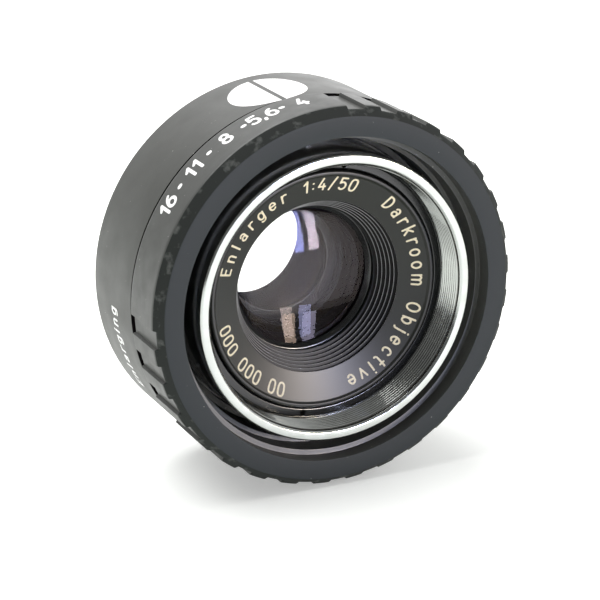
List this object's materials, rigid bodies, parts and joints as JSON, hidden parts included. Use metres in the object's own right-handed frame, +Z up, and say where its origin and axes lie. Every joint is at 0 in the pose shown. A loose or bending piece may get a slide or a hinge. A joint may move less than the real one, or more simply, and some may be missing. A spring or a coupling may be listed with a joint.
{
  "type": "enlarger lens",
  "caption": "Round darkroom enlarger lens: fluted aperture ring, bright filter ring, dished name ring, bladed iris, glass elements and a screw mount at the rear.",
  "frame": {"origin": "on the surface that the lens stands on, on its rim, under the middle of its length", "axes": "+Y along the lens axis towards the rear mount, so the front faces -Y; +Z up; +X to the right as seen from the front"},
  "size_m": [0.0504, 0.027, 0.0505],
  "materials": {
    "barrel_plastic": "satin black moulded plastic with a grey sheen",
    "ring_plastic": "satin black moulded plastic, slightly finer than the barrel",
    "bright_chrome": "bright turned metal with a fine thread",
    "mount_chrome": "bright turned metal thread",
    "black_anodised": "black anodised, half gloss",
    "name_ring_black": "black anodised, fine satin, with cream lettering",
    "cell_black": "matt black",
    "brass": "turned brass",
    "blade_steel": "blackened spring steel",
    "steel": "plain steel",
    "coated_glass": "polished optical glass with a purple and amber coating"
  },
  "bodies": {
    "barrel": {"rear_barrel": "barrel_plastic", "mount_ring": "mount_chrome", "filter_ring": "bright_chrome", "front_retaining_ring": "black_anodised", "name_ring": "name_ring_black", "lens_body": "black_anodised", "front_cell": "cell_black", "rear_cell": "cell_black", "element_retaining_ring": "cell_black", "rear_retaining_ring": "cell_black", "element_spacer": "cell_black", "front_element": "coated_glass", "second_element": "coated_glass", "rear_inner_element": "coated_glass", "rear_outer_element": "coated_glass", "iris_base_plate": "brass", "barrel_screw_1": "steel", "barrel_screw_2": "steel", "barrel_screw_3": "steel", "click_ball": "steel", "click_spring": "steel"},
    "aperture_control": {"aperture_ring": "ring_plastic", "aperture_hub": "brass", "iris_actuator_ring": "brass", "drive_screw": "steel", "hub_screw_1": "steel", "hub_screw_2": "steel", "hub_screw_3": "steel"},
    "blade_1": {"iris_blade_1": "blade_steel"},
    "blade_2": {"iris_blade_2": "blade_steel"},
    "blade_3": {"iris_blade_3": "blade_steel"},
    "blade_4": {"iris_blade_4": "blade_steel"},
    "blade_5": {"iris_blade_5": "blade_steel"}
  },
  "joints": [
    {"name": "aperture_turn", "type": "hinge", "parent": "barrel", "child": "aperture_control", "pos_m": [0, 0, 0.02523], "axis": [0, 1, 0], "range_deg": [-1.8, 48.2]},
    {"name": "blade_1_swing", "type": "hinge", "parent": "barrel", "child": "blade_1", "pos_m": [0, 0, 0.03723], "axis": [0, 1, 0], "range_deg": [-0.9, 21.9]},
    {"name": "blade_2_swing", "type": "hinge", "parent": "barrel", "child": "blade_2", "pos_m": [0.01141, 0, 0.02893], "axis": [0, 1, 0], "range_deg": [-0.9, 21.9]},
    {"name": "blade_3_swing", "type": "hinge", "parent": "barrel", "child": "blade_3", "pos_m": [0.00705, 0, 0.01552], "axis": [0, 1, 0], "range_deg": [-0.9, 21.9]},
    {"name": "blade_4_swing", "type": "hinge", "parent": "barrel", "child": "blade_4", "pos_m": [-0.00705, 0, 0.01552], "axis": [0, 1, 0], "range_deg": [-0.9, 21.9]},
    {"name": "blade_5_swing", "type": "hinge", "parent": "barrel", "child": "blade_5", "pos_m": [-0.01141, 0, 0.02893], "axis": [0, 1, 0], "range_deg": [-0.9, 21.9]}
  ],
  "couplings": [
    {"joint": "blade_1_swing", "follows": "aperture_turn", "ratio": 0.452},
    {"joint": "blade_2_swing", "follows": "aperture_turn", "ratio": 0.452},
    {"joint": "blade_3_swing", "follows": "aperture_turn", "ratio": 0.452},
    {"joint": "blade_4_swing", "follows": "aperture_turn", "ratio": 0.452},
    {"joint": "blade_5_swing", "follows": "aperture_turn", "ratio": 0.452}
  ]
}
